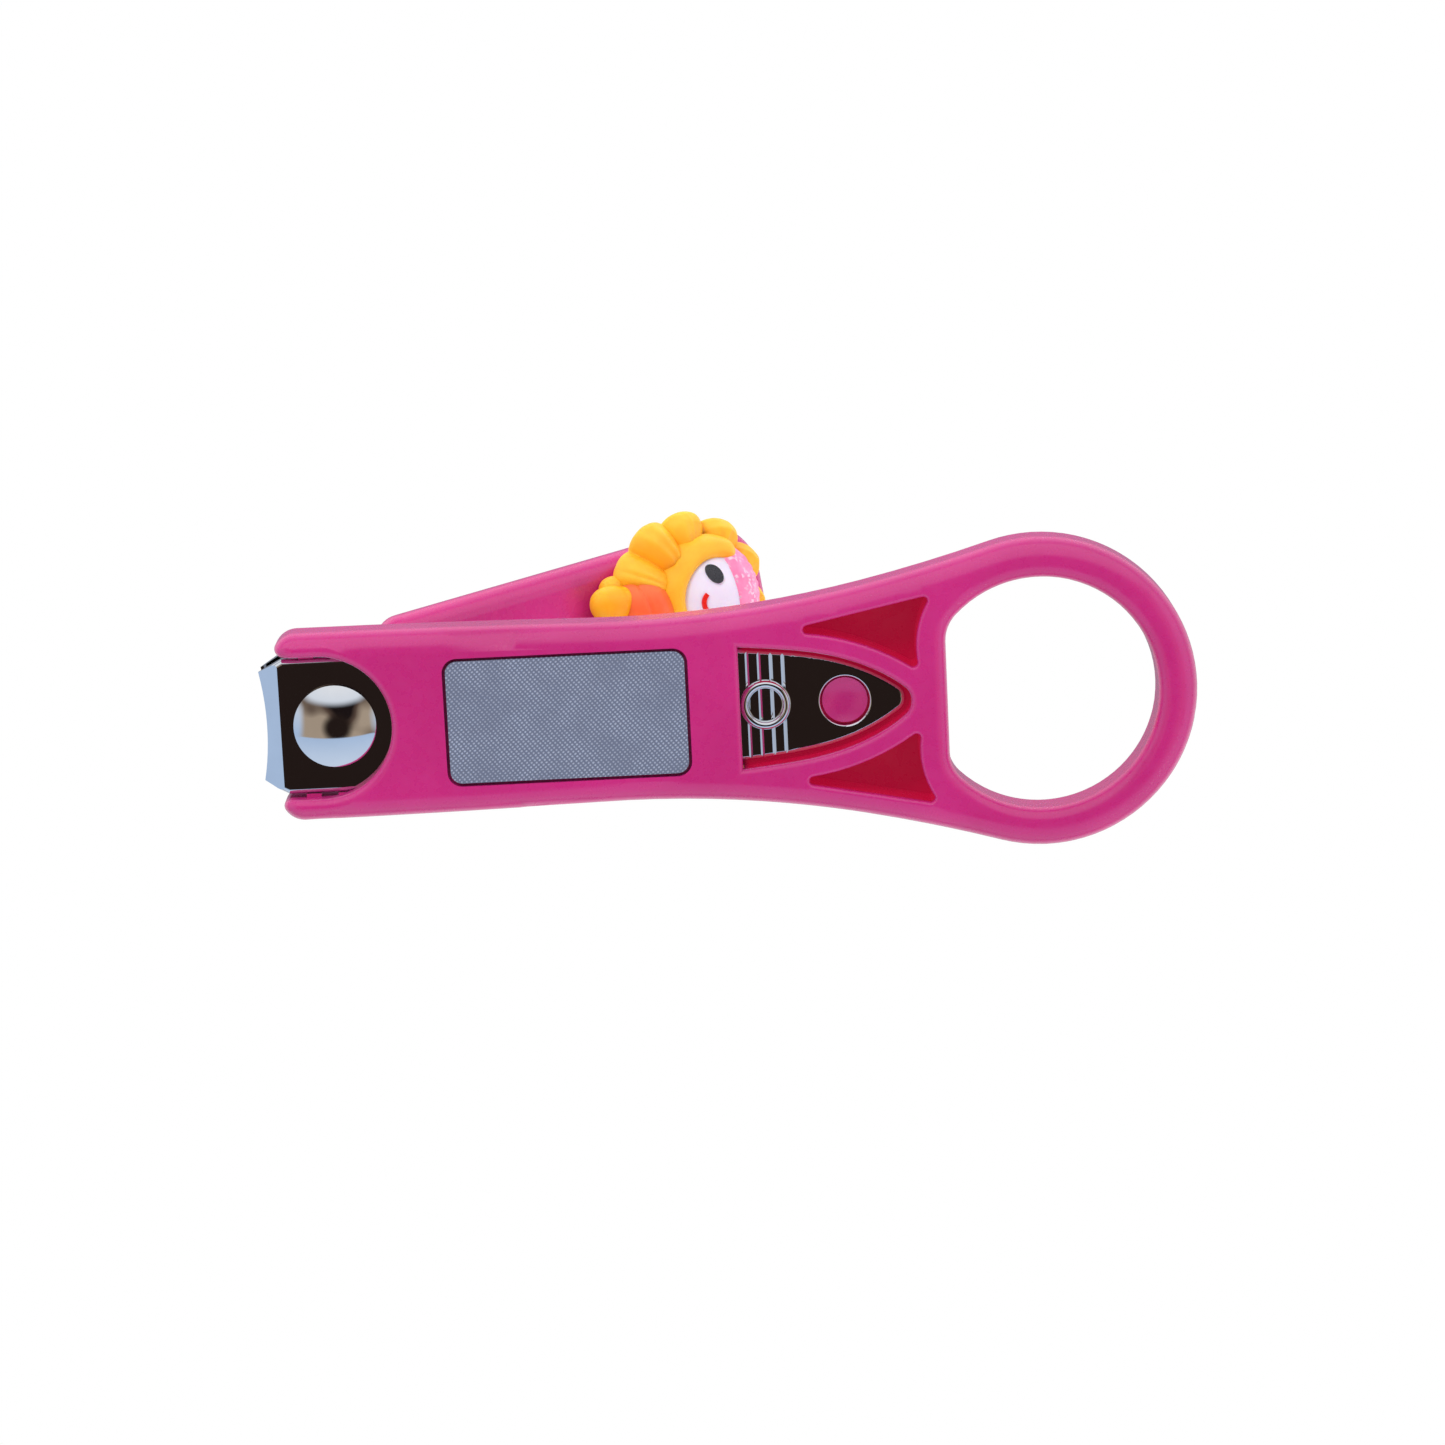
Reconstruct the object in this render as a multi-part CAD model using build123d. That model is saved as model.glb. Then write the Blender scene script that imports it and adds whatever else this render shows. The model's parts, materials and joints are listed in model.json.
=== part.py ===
from build123d import *
import os
from math import atan2, cos, hypot, radians, sin, tan

# Compound-lever nail clipper for a small child: a sprung steel clipper in a moulded handle with a
# finger ring. +X runs from the blades to the ring, +Z is the lever's side, and the flat underside
# of the handle lies on Z = 0. Every piece is drawn about the post, whose axis is X = Y = 0, and
# then moved along X, so that the origin is the middle of the underside. Millimetres.

# Clipper leaves
LEAF_T = 1.2  # thickness of each steel leaf
JAW_HALF_W = 6.45  # half width of the leaves at the post
EDGE_X = -7.05  # corners of the cutting edges
EDGE_HALF_W = 5.2  # half length of the cutting edges
EDGE_DISH = 0.55  # how far the middle of an edge lies behind its corners
LIP_L = 1.9  # length of the bent lip behind an edge
LIP_RISE = 1.5  # height of the lower lip, from the leaf's outer face to the edge
UPPER_LIP_RISE = 2.0  # the same for the upper lip
EDGE_LEFT = 0.055  # what is left between the cutting edges when the lever is down
LEAF_EDGE_R = 0.5  # rounding of a leaf's outer edges
HOLE_RIM_R = 0.16
CUT = 20.0  # reach of a cutting tool beyond what it cuts
EDGE_LAND = 0.12  # flat of a cutting edge
LIP_RUNOUT = 0.1
LIP_BLEND = 0.9
LIP_ROOT = 3.0
SHOULDER_L = 0.4  # from the back of the lip to the jaw's full width
LEVEL_X = 9.5  # the upper leaf is level from the jaw back to here
RIVET_X = 40.6  # rivet that joins the leaves
TAIL_START_X = 33.0  # the leaves begin to narrow here
TAIL_HALF_W = 5.4  # half width of the lower leaf at the window
TAIL_TIP_X = 53.85
TAIL_TIP_R = 1.6
TIP_FULLNESS = 0.85
TAIL_TAPER = 0.71  # the tail's width at its hole, as a share of its width at the window
TAIL_HOLE_X = 48.1
TAIL_HOLE_D = 4.7
UPPER_TAIL_R = 3.6  # round end of the upper leaf behind the rivet
BEND_GAP = 0.3  # from the rivet's head to the upper leaf's bend
LEAF_GAP = 0.16  # running gap between the leaves at the rivet

# Rivet at the tail
RIVET_D = 3.3
RIVET_RING_D = 4.8
RIVET_RING_T = 0.55
RIVET_HEAD_T = 0.7
RIVET_PLAY = 0.2
RING_BITE = 0.05  # how far the ring laps into the shank
GROOVE_HALF_W = 0.17  # V-shaped grooves
GROOVE_DEPTH = 0.09
GROOVE_PITCH = 1.12
GROOVE_COUNT = 4

# Post and cross pin
POST_D = 3.8
POST_PLAY = 0.08  # radial play of the post in the lower leaf
POST_SLOT_PLAY = 0.45  # radial play in the upper leaf, which tilts as it closes
HEAD_D = 7.8
HEAD_RIM = 0.45
HEAD_DOME = 1.1
HEAD_GAP = 0.05
POST_FLAT = 1.75  # half width across the flats at the top of the post
POST_ABOVE_PIN = 1.5
POST_END_R = 0.6
CHEEK_CLEAR = 0.3
PIN_D = 2.0
PIN_PLAY = 0.05
PIN_END_R = 0.3
PIN_ABOVE_JAW = 4.0  # height of the pin above the open upper leaf
PIN_END = 0.35  # how far the pin stands out of each cheek

# Lever, drawn along its own axis from the pin
LEVER_RAISE = 33.0  # degrees, arm above the handle with the jaws open
LEVER_SWIVEL = -8.0  # degrees, swing of the lever about the post
LEVER_PRESS = 16.0  # degrees, travel from open to closed
LEAF_RATIO = 0.18  # turn of the upper leaf about the rivet for one degree of the lever
PLATE_T = 1.2
PLATE_HALF_W = 4.8
PLATE_END = 44.0
PLATE_START = 4.4
PLATE_SHOULDER = 9.0
CHEEK_IN = 2.1
CHEEK_T = 1.2
CHEEK_R = 2.6
CAM_REACH = 6.5  # distance from the post's axis to the cam's contact
CAM_R = 2.0
CAM_GAP = 0.1
COVER_START = 5.2
COVER_END = 49.0
COVER_HALF_W = 7.0
COVER_T = 4.2
COVER_END_R = 5.6
COVER_START_R = 2.6
COVER_EDGE_R = 1.9
COVER_HOLLOW_L = 4.2
COVER_HOLLOW_W = 8.6
COVER_HOLLOW_T = 1.1
HOLLOW_LEAD = 0.5
HOLLOW_R = 1.2

# Handle
HANDLE_H = 5.9
FLOOR_T = 1.9  # thickness of the plate under the leaves
ARM_TIP_X = -5.5
ARM_HALF_W = 8.95
ARM_CORNER_R = 2.2  # outer corner of an arm's tip, seen from above
WAIST_X = 24.6
WAIST_HALF_W = 8.6
NECK_X = 50.0
NECK_HALF_W = 10.95
RING_X = 66.6
RING_R = 14.75
RING_W = 3.7
RING_FLAT_X = 57.75  # flat side of the finger opening
RING_CORNER_R = 3.6
SIDE_R = 2.1  # rounding of the underside's outer edge
TOP_R = 1.1
HOLE_EDGE_R = 1.3
NOTCH_HALF_W = 6.8
NOTCH_X = -1.4  # centre of the notch's round end
NOTCH_EDGE_R = 0.7
LEAF_SIDE_GAP = 0.4
WINDOW_X = 38.2
WINDOW_GAP = 0.45  # between the tail of the lower leaf and the window
WINDOW_EDGE_R = 0.5
ROOF_X = 45.6  # the moulding closes over the tail behind here
ROOF_GAP = 0.2
RAIL_LAP = 0.3  # rails beside the rivet lap over the edges of the tail
BOSS_D = 4.3
BOSS_ROOT = 0.5
BOSS_RECESS = 0.5
BOSS_DISH = 0.45
POCKET_DEPTH = 4.3
POCKET_EDGE_R = 0.4
POCKET_RIM_R = 0.35
POCKET_TIP = (41.6, 7.0)
POCKET_OUTER = (56.6, 10.0)
POCKET_INNER = (55.2, 2.7)
POCKET_REAR = (55.1, 6.6)
POCKET_WAIST = (49.4, 5.75)
RIB_X = (-2.4, 0.6)
RIB_L = 1.4
RIB_GAP = 0.05
RIB_ROOT = 0.3

# File plate and its pad
FILE_X = 10.7
FILE_L = 22.45
FILE_W = 11.65
FILE_T = 0.6
FILE_R = 1.1
FILE_GAP = 0.3
FILE_SUNK = 0.1
FILE_PAD_T = 0.15
FILE_PAD_INSET = 0.6

# Doll, drawn on the face of the cover that looks at the handle
DOLL_SIDE = 0.8  # how far the doll sits off the lever's middle line
DOLL_PAD_T = 0.2
DOLL_PAD_L = 15.0
DOLL_PAD_W = 6.4
DOLL_PAD_R = 1.5
DOLL_PAD_U = 38.0
MANE_U = 38.6
MANE_R = 8.9
MANE_T = 2.6
MANE_EDGE_R = 0.9
LOBES = 11
LOBE_R = 2.4
LOBE_ROOT = 0.6
FACE_U = 40.0
FACE_R = 5.32
FACE_SINK = 1.4
FACE_RISE = 3.5
COLLAR_R = 6.4
COLLAR_T = 1.9
COLLAR_EDGE_R = 1.5
COLLAR_END = 3.4  # the collar ends here, past the middle of the face
FRINGE_T = 0.4
FRINGE_LINE = 1.4  # distance of the fringe's straight edge from the middle of the face
EYE_B = 2.7
EYE_U = -0.6
EYE_RX = 0.78
EYE_RY = 0.98
EYE_TILT = 18.0
FEATURE_T = 0.15
SMILE_R = 1.2
SMILE_W = 0.38
SMILE_U = -2.55
SMILE_HALF_ANGLE = 55.0
BODY_START = 29.3
BODY_R = 4.1
BODY_END_R = 2.6
BODY_CENTRE_H = 1.5
LIMB_ROUND = 0.95
HAND_R = 1.3
HAND_L = 3.2
HAND_U = 29.7
HAND_B = 3.7
HAND_H = 1.2
FOOT_R = 1.75
FOOT_L = 4.2
FOOT_U = 29.0
FOOT_B = 2.0
FOOT_H = 2.3

# Heights that follow from the stack of leaves
LOWER_FACE_Z = FLOOR_T
LOWER_TOP_Z = LOWER_FACE_Z + LEAF_T
EDGE_Z = LOWER_FACE_Z + LIP_RISE
EDGE_GAP = (RIVET_X - EDGE_X) * radians(LEVER_PRESS * LEAF_RATIO) + EDGE_LEFT
UPPER_EDGE_Z = EDGE_Z + EDGE_GAP
UPPER_TOP_Z = UPPER_EDGE_Z + UPPER_LIP_RISE
UPPER_TAIL_Z = LOWER_TOP_Z + LEAF_GAP
PIN_Z = UPPER_TOP_Z + PIN_ABOVE_JAW
COVER_UNDER = -COVER_T / 2
CHEEK_OUT = CHEEK_IN + CHEEK_T

MIDDLE_X = (EDGE_X + RING_X + RING_R) / 2

LEVER_FRAME = Pos(0, 0, PIN_Z) * Rot(0, 0, LEVER_SWIVEL) * Rot(0, -LEVER_RAISE, 0)
DOLL_FRAME = LEVER_FRAME * Pos(0, 0, COVER_UNDER) * Rot(180, 0, 0) * Pos(0, DOLL_SIDE, 0)


def prism(face, z0, z1):
    """A sketch in the XY plane extruded from height z0 to height z1."""
    return Pos(0, 0, z0) * extrude(face, z1 - z0)


def side_profile(points, half_width):
    """A closed outline in the XZ plane, extruded to both sides."""
    face = make_face(Plane.XZ * Polyline(*points, close=True))
    return extrude(face, half_width, both=True)


def cut_with_rim(part, face, depth, radius):
    """Cut a pocket up from the underside and round the rim that the cut leaves there."""
    old = [tuple(round(v, 2) for v in e.center()) for e in edges_at(part, 0)]
    part -= prism(face, -CUT, depth)
    rim = edges_at(part, 0)
    new = ShapeList([e for e in rim if tuple(round(v, 2) for v in e.center()) not in old])
    return fillet(new, radius)


def edges_at(part, z, tolerance=0.01):
    """The edges of a part that lie wholly at height z."""
    flat = [e for e in part.edges() if abs(e.bounding_box().min.Z - z) < tolerance]
    return ShapeList([e for e in flat if abs(e.bounding_box().max.Z - z) < tolerance])


# Steel leaves


def jaw_front(grow=0.0):
    """The front half of a leaf seen from above, up to where it narrows."""
    shoulder_x = EDGE_X + LIP_L + SHOULDER_L
    side = JAW_HALF_W + grow
    edge = ThreePointArc((EDGE_X, -EDGE_HALF_W), (EDGE_X + EDGE_DISH, 0), (EDGE_X, EDGE_HALF_W))
    upper = Polyline((EDGE_X, EDGE_HALF_W), (shoulder_x, side), (TAIL_START_X, side))
    lower = Polyline((EDGE_X, -EDGE_HALF_W), (shoulder_x, -side), (TAIL_START_X, -side))
    back = Line((TAIL_START_X, side), (TAIL_START_X, -side))
    return make_face(edge + upper + back + lower)


def tail_line(grow):
    """Half the outline of the lower leaf's tail, grown outwards by a gap."""
    tip = TAIL_TIP_X + grow
    side = Line((TAIL_START_X, JAW_HALF_W + grow), (WINDOW_X, TAIL_HALF_W + grow))
    sweep_in = Spline(
        (WINDOW_X, TAIL_HALF_W + grow),
        (TAIL_HOLE_X, TAIL_HALF_W * TAIL_TAPER + grow),
        (tip - TAIL_TIP_R / 2, TAIL_TIP_R * TIP_FULLNESS + grow / 3),
        (tip, 0),
        tangents=((1, -0.1), (0, -1)),
    )
    return side + sweep_in


def tail_face(grow=0.0):
    """The lower leaf's tail seen from above."""
    half = tail_line(grow)
    front = Line((TAIL_START_X, JAW_HALF_W + grow), (TAIL_START_X, -JAW_HALF_W - grow))
    return make_face(half + mirror(half, Plane.XZ) + front)


def lip_profile(face_z, side, rise):
    """Side view of a jaw's bent lip, from its outer face; side is +1 when the edge is above it."""
    back = EDGE_X + LIP_L
    inner = face_z + side * LEAF_T
    tip = face_z + side * rise
    return [
        (EDGE_X - LIP_RUNOUT, tip),
        (EDGE_X + EDGE_DISH, tip),
        (back + LIP_BLEND, inner),
        (back + LIP_ROOT, inner),
        (back + LIP_ROOT, face_z),
        (back, face_z),
        (EDGE_X - LIP_RUNOUT, tip - side * EDGE_LAND),
    ]


def side_edges(leaf, z):
    """The edges along the sides and the end of a leaf at height z, without the bend of the lip."""
    return edges_at(leaf, z).filter_by(lambda e: abs(e.center().Y) > 1 or e.center().X > TAIL_START_X)


def leaf_grooves():
    """Fine V-shaped grooves across the lower leaf's tail and the rivet's ring."""
    middle = RIVET_X + 0.1
    first = middle - GROOVE_PITCH * (GROOVE_COUNT - 1) / 2
    sides = [(-GROOVE_HALF_W, 0), (0, GROOVE_DEPTH), (GROOVE_HALF_W, 0), (0, -GROOVE_DEPTH)]
    groove = side_profile(sides, JAW_HALF_W)
    places = [Pos(first + i * GROOVE_PITCH, 0, LOWER_FACE_Z) for i in range(GROOVE_COUNT)]
    return Part() + [place * groove for place in places]


def lower_jaw():
    """Lower leaf: flat, with a lip bent up to the cutting edge, the post's hole and the tail."""
    front = jaw_front()
    flat_x = EDGE_X + LIP_L + LIP_ROOT / 2
    keep = Pos(flat_x + 2 * CUT, 0, 0) * Box(4 * CUT, 2 * CUT, 2 * CUT)
    leaf = prism(front, LOWER_FACE_Z, LOWER_TOP_Z) & keep
    leaf += side_profile(lip_profile(LOWER_FACE_Z, 1, LIP_RISE), CUT) & prism(front, -CUT, CUT)
    leaf += prism(tail_face(), LOWER_FACE_Z, LOWER_TOP_Z)
    leaf = fillet(side_edges(leaf, LOWER_FACE_Z), LEAF_EDGE_R)
    leaf -= Pos(0, 0, LOWER_FACE_Z) * Cylinder(POST_D / 2 + POST_PLAY, CUT)
    leaf -= Pos(RIVET_X, 0, LOWER_FACE_Z) * Cylinder(RIVET_D / 2, CUT)
    leaf -= Pos(TAIL_HOLE_X, 0, LOWER_FACE_Z) * Cylinder(TAIL_HOLE_D / 2, CUT)
    round_edges = edges_at(leaf, LOWER_FACE_Z).filter_by(GeomType.CIRCLE)
    rim = round_edges.filter_by(lambda e: abs(e.radius - TAIL_HOLE_D / 2) < 0.01)
    leaf = fillet(rim, HOLE_RIM_R)
    return leaf - leaf_grooves()


def upper_profile():
    """Side view of the upper leaf: level over the jaw, then falling to the rivet and the tail."""
    top = UPPER_TOP_Z
    low = UPPER_TAIL_Z + LEAF_T
    bend = RIVET_X - RIVET_RING_D / 2 - BEND_GAP
    end = RIVET_X + 2 * UPPER_TAIL_R
    front = EDGE_X + LIP_L + LIP_ROOT / 2
    slope = atan2(top - low, bend - LEVEL_X)
    drop = LEAF_T * tan(slope / 2)
    return [
        (front, top),
        (LEVEL_X, top),
        (bend, low),
        (end, low),
        (end, low - LEAF_T),
        (bend - drop, low - LEAF_T),
        (LEVEL_X - drop, top - LEAF_T),
        (front, top - LEAF_T),
    ]


def upper_plan():
    """The upper leaf seen from above: jaw, long sides and a round end behind the rivet."""
    outline = Polyline(
        (TAIL_START_X - UPPER_TAIL_R, JAW_HALF_W),
        (TAIL_START_X - UPPER_TAIL_R, -JAW_HALF_W),
        (RIVET_X, -UPPER_TAIL_R),
        (RIVET_X, UPPER_TAIL_R),
        close=True,
    )
    plan = jaw_front() + make_face(outline)
    return plan + Pos(RIVET_X, 0) * Circle(UPPER_TAIL_R)


def upper_jaw():
    """Upper leaf: sprung open, with a lip bent down to its cutting edge."""
    leaf = side_profile(upper_profile(), CUT)
    leaf += side_profile(lip_profile(UPPER_TOP_Z, -1, UPPER_LIP_RISE), CUT)
    leaf &= prism(upper_plan(), -CUT, 2 * CUT)
    leaf = fillet(side_edges(leaf, UPPER_TOP_Z), LEAF_EDGE_R)
    leaf -= Pos(0, 0, UPPER_TOP_Z) * Cylinder(POST_D / 2 + POST_SLOT_PLAY, CUT)
    leaf -= Pos(RIVET_X, 0, UPPER_TAIL_Z) * Cylinder(RIVET_D / 2 + RIVET_PLAY, CUT)
    return leaf


def tail_rivet():
    """Rivet through both leaves: a raised ring below, a low head above."""
    head_z = UPPER_TAIL_Z + LEAF_T + RIVET_PLAY
    shank = Pos(RIVET_X, 0, 0) * prism(Circle(RIVET_D / 2), LOWER_FACE_Z, head_z)
    head = Pos(RIVET_X, 0, head_z) * prism(Circle(RIVET_RING_D / 2), 0, RIVET_HEAD_T)
    head = fillet(edges_at(head, head_z + RIVET_HEAD_T), RIVET_HEAD_T / 2)
    half_w = (RIVET_RING_D - RIVET_D) / 4 + RING_BITE
    ring_face = Pos(RIVET_RING_D / 2 - half_w, LOWER_FACE_Z) * Ellipse(half_w, RIVET_RING_T)
    ring = revolve(Plane.XZ * ring_face, Axis.Z)
    ring &= Pos(0, 0, LOWER_FACE_Z - CUT / 2) * Box(CUT, CUT, CUT)
    rivet = shank + head + Pos(RIVET_X, 0, 0) * ring
    return rivet - leaf_grooves()


# Post and pin


def post():
    """Post with its domed head below the lower leaf and flats round the cross pin above."""
    head_top = LOWER_FACE_Z - HEAD_GAP
    rim_z = head_top - HEAD_RIM
    radius = HEAD_D / 2
    ball_r = (radius**2 + HEAD_DOME**2) / (2 * HEAD_DOME)
    ball = Pos(0, 0, rim_z - HEAD_DOME + ball_r) * Sphere(ball_r)
    dome = ball & prism(Circle(radius), rim_z - CUT, rim_z)
    top = PIN_Z + POST_ABOVE_PIN
    shaft = prism(Circle(POST_D / 2), head_top, top)
    shaft = fillet(edges_at(shaft, top), POST_END_R)
    flats_z = PIN_Z - CHEEK_R - CHEEK_CLEAR
    for hand in (1, -1):
        shaft -= Pos(0, hand * (POST_FLAT + CUT / 2), flats_z + CUT / 2) * Box(CUT, CUT, CUT)
    part = shaft + prism(Circle(radius), rim_z, head_top) + dome
    part -= Pos(0, 0, PIN_Z) * Rot(90, 0, 0) * Cylinder(PIN_D / 2 + PIN_PLAY, CUT)
    return Rot(0, 0, LEVER_SWIVEL) * part


def cross_pin():
    """Round pin through the post and the lever's two cheeks."""
    length = 2 * (CHEEK_OUT + PIN_END)
    pin = Rot(90, 0, 0) * Cylinder(PIN_D / 2, length)
    pin = fillet(pin.edges().filter_by(GeomType.CIRCLE), PIN_END_R)
    return LEVER_FRAME * pin


# Lever


def cam_centre():
    """Centre of the cam's round nose, along the lever and across it."""
    x = CAM_REACH
    z = UPPER_TOP_Z + CAM_GAP + CAM_R - PIN_Z
    raise_angle = radians(LEVER_RAISE)
    along = x * cos(raise_angle) + z * sin(raise_angle)
    across = -x * sin(raise_angle) + z * cos(raise_angle)
    return along, across


def cheek_face():
    """One cheek seen from the side: round the pin, out to the cam's nose and back to the plate."""
    along, across = cam_centre()
    root = Pos(PLATE_SHOULDER - 1, 0) * Rectangle(2, PLATE_T)
    shapes = Circle(CHEEK_R) + Pos(along, across) * Circle(CAM_R) + root
    return make_hull(shapes.edges())


def lever_steel():
    """Stamped lever: a flat blade with two folded cheeks that carry the pin and the cam."""
    blade = make_face(
        Polyline(
            (PLATE_START, CHEEK_OUT),
            (PLATE_SHOULDER, PLATE_HALF_W),
            (PLATE_END, PLATE_HALF_W),
            (PLATE_END, -PLATE_HALF_W),
            (PLATE_SHOULDER, -PLATE_HALF_W),
            (PLATE_START, -CHEEK_OUT),
            close=True,
        )
    )
    steel = prism(blade, -PLATE_T / 2, PLATE_T / 2)
    for hand in (1, -1):
        cheek = extrude(Plane.XZ * cheek_face(), CHEEK_T / 2, both=True)
        steel += Pos(0, hand * (CHEEK_IN + CHEEK_T / 2), 0) * cheek
    steel -= Rot(90, 0, 0) * Cylinder(PIN_D / 2 + PIN_PLAY, CUT)
    return steel


def cover_blank():
    """The moulded cover before the blade's slot: a long rounded bar."""
    length = COVER_END - COVER_START
    plan = Pos(COVER_START + length / 2, 0) * Rectangle(length, 2 * COVER_HALF_W)
    front = plan.vertices().filter_by(lambda v: v.X < COVER_START + COVER_T)
    plan = fillet(front, COVER_START_R)
    rear = plan.vertices().filter_by(lambda v: v.X > COVER_END - COVER_T)
    plan = fillet(rear, COVER_END_R)
    bar = prism(plan, -COVER_T / 2, COVER_T / 2)
    rims = edges_at(bar, -COVER_T / 2) + edges_at(bar, COVER_T / 2)
    return fillet(rims, COVER_EDGE_R)


def lever_cover():
    """Moulded cover: closed round the blade, hollow below the cheeks at its front."""
    hollow = Pos(COVER_START + COVER_HOLLOW_L / 2, 0, COVER_UNDER) * Box(
        COVER_HOLLOW_L, COVER_HOLLOW_W, 2 * COVER_HOLLOW_T
    )
    hollow = Pos(-HOLLOW_LEAD, 0, 0) * fillet(hollow.edges().filter_by(Axis.Z), HOLLOW_R)
    return cover_blank() - hollow - lever_steel()


# Handle


def outer_line():
    """Half the handle's outline, from the arm's tip along the side to the end of the ring."""
    corner = RadiusArc(
        (ARM_TIP_X, ARM_HALF_W - ARM_CORNER_R),
        (ARM_TIP_X + ARM_CORNER_R, ARM_HALF_W),
        ARM_CORNER_R,
    )
    side = TangentArc(corner @ 1, (WAIST_X, WAIST_HALF_W), tangent=(1, 0))
    hip = TangentArc(side @ 1, (NECK_X, NECK_HALF_W), tangent=side % 1)
    circle = CenterArc((RING_X, 0), RING_R, 0, 180)
    flare = DoubleTangentArc(hip @ 1, hip % 1, circle)
    ring = TangentArc(flare @ 1, (RING_X + RING_R, 0), tangent=flare % 1)
    return corner + side + hip + flare + ring


def handle_face():
    """The handle's outline, closed in front by a straight line across the arms' tips."""
    half = outer_line()
    tip_y = ARM_HALF_W - ARM_CORNER_R
    front = Line((ARM_TIP_X, tip_y), (ARM_TIP_X, -tip_y))
    return make_face(half + mirror(half, Plane.XZ) + front)


def finger_hole():
    """The finger opening: a circle cut off by a flat side, with rounded corners."""
    disc = Pos(RING_X, 0) * Circle(RING_R - RING_W)
    keep = Pos(RING_FLAT_X + RING_R, 0) * Rectangle(2 * RING_R, 4 * RING_R)
    hole = disc & keep
    corners = hole.vertices().filter_by(lambda v: v.X < RING_FLAT_X + 0.1)
    return fillet(corners, RING_CORNER_R)


def notch_face():
    """The notch between the arms: straight sides and a round end."""
    length = NOTCH_X - ARM_TIP_X + CUT
    straight = Pos(NOTCH_X - length / 2, 0) * Rectangle(length, 2 * NOTCH_HALF_W)
    return straight + Pos(NOTCH_X, 0) * Circle(NOTCH_HALF_W)


def arm_tips():
    """Cutters that round the inner corner of each arm's tip."""
    tip_r = (ARM_HALF_W - NOTCH_HALF_W) / 2
    cutters = Sketch()
    for hand in (1, -1):
        corner = Pos(ARM_TIP_X, hand * NOTCH_HALF_W) * Rectangle(2 * tip_r, 2 * tip_r)
        ball = Pos(ARM_TIP_X + tip_r, hand * (NOTCH_HALF_W + tip_r)) * Circle(tip_r)
        cutters += corner - ball
    return cutters


def pocket_face(hand):
    """One triangular pocket beside the window; hand is +1 or -1."""
    tip_x, tip_y = POCKET_TIP
    outer_x, outer_y = POCKET_OUTER
    inner_x, inner_y = POCKET_INNER
    outer = Line((tip_x, tip_y), (outer_x, outer_y))
    rear = ThreePointArc((outer_x, outer_y), POCKET_REAR, (inner_x, inner_y))
    inner = ThreePointArc((inner_x, inner_y), POCKET_WAIST, (tip_x, tip_y))
    face = make_face(outer + rear + inner)
    face = fillet(face.vertices(), POCKET_EDGE_R)
    return face if hand > 0 else mirror(face, Plane.XZ)


def window_face():
    """The rear window: straight in front, then following the leaf's tail at a gap."""
    keep = Pos(WINDOW_X + CUT, 0) * Rectangle(2 * CUT, 2 * CUT)
    return tail_face(WINDOW_GAP) & keep


def channel_face():
    """The open channel over the leaves, as far as the rails over the tail."""
    side = JAW_HALF_W + LEAF_SIDE_GAP
    straight = Pos((TAIL_START_X - CUT) / 2, 0) * Rectangle(TAIL_START_X + CUT, 2 * side)
    keep = Pos(WINDOW_X - CUT, 0) * Rectangle(2 * CUT, 2 * CUT)
    return straight + (tail_face(LEAF_SIDE_GAP) & keep)


def rail_opening():
    """The opening between the rails that lie over the edges of the leaf's tail."""
    keep = Pos(ROOF_X - CUT, 0) * Rectangle(2 * CUT, 2 * CUT)
    return tail_face(-RAIL_LAP) & keep


def handle_blank():
    """Handle body and ring with their rounded outer and inner edges."""
    blank = prism(handle_face() - finger_hole(), 0, HANDLE_H)

    def on_hole(edge):
        mid = edge.position_at(0.5)
        return hypot(mid.X - RING_X, mid.Y) < RING_R - RING_W / 2

    for z, radius in ((0, SIDE_R), (HANDLE_H, TOP_R)):
        blank = fillet(edges_at(blank, z).filter_by(lambda e: not on_hole(e)), radius)
        blank = fillet(edges_at(blank, z).filter_by(on_hole), HOLE_EDGE_R)
    return blank


def side_ribs():
    """Small ribs on the arms that hold the sides of the lower leaf."""
    ribs = Part()
    depth = LEAF_SIDE_GAP - RIB_GAP + RIB_ROOT
    for x in RIB_X:
        for hand in (1, -1):
            y = hand * (JAW_HALF_W + RIB_GAP + depth / 2)
            ribs += Pos(x, y, LOWER_FACE_Z + LEAF_T / 2) * Box(RIB_L, depth, LEAF_T)
    return ribs


def retaining_boss():
    """The stub that comes down from the roof through the hole in the leaf's tail."""
    bottom = LOWER_FACE_Z + BOSS_RECESS
    top = LOWER_TOP_Z + ROOF_GAP + BOSS_ROOT
    stub = prism(Circle(BOSS_D / 2), bottom, top)
    radius = BOSS_D / 2
    ball_r = (radius**2 + BOSS_DISH**2) / (2 * BOSS_DISH)
    dish = Pos(0, 0, bottom + BOSS_DISH - ball_r) * Sphere(ball_r)
    return Pos(TAIL_HOLE_X, 0, 0) * (stub - dish)


def file_seat():
    """The shallow recess for the file plate."""
    length = FILE_L + 2 * FILE_GAP
    depth = FILE_SUNK + FILE_T + FILE_PAD_T
    seat = RectangleRounded(length, FILE_W + 2 * FILE_GAP, FILE_R + FILE_GAP)
    return Pos(FILE_X + FILE_L / 2, 0, 0) * prism(seat, -CUT, depth)


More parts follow.
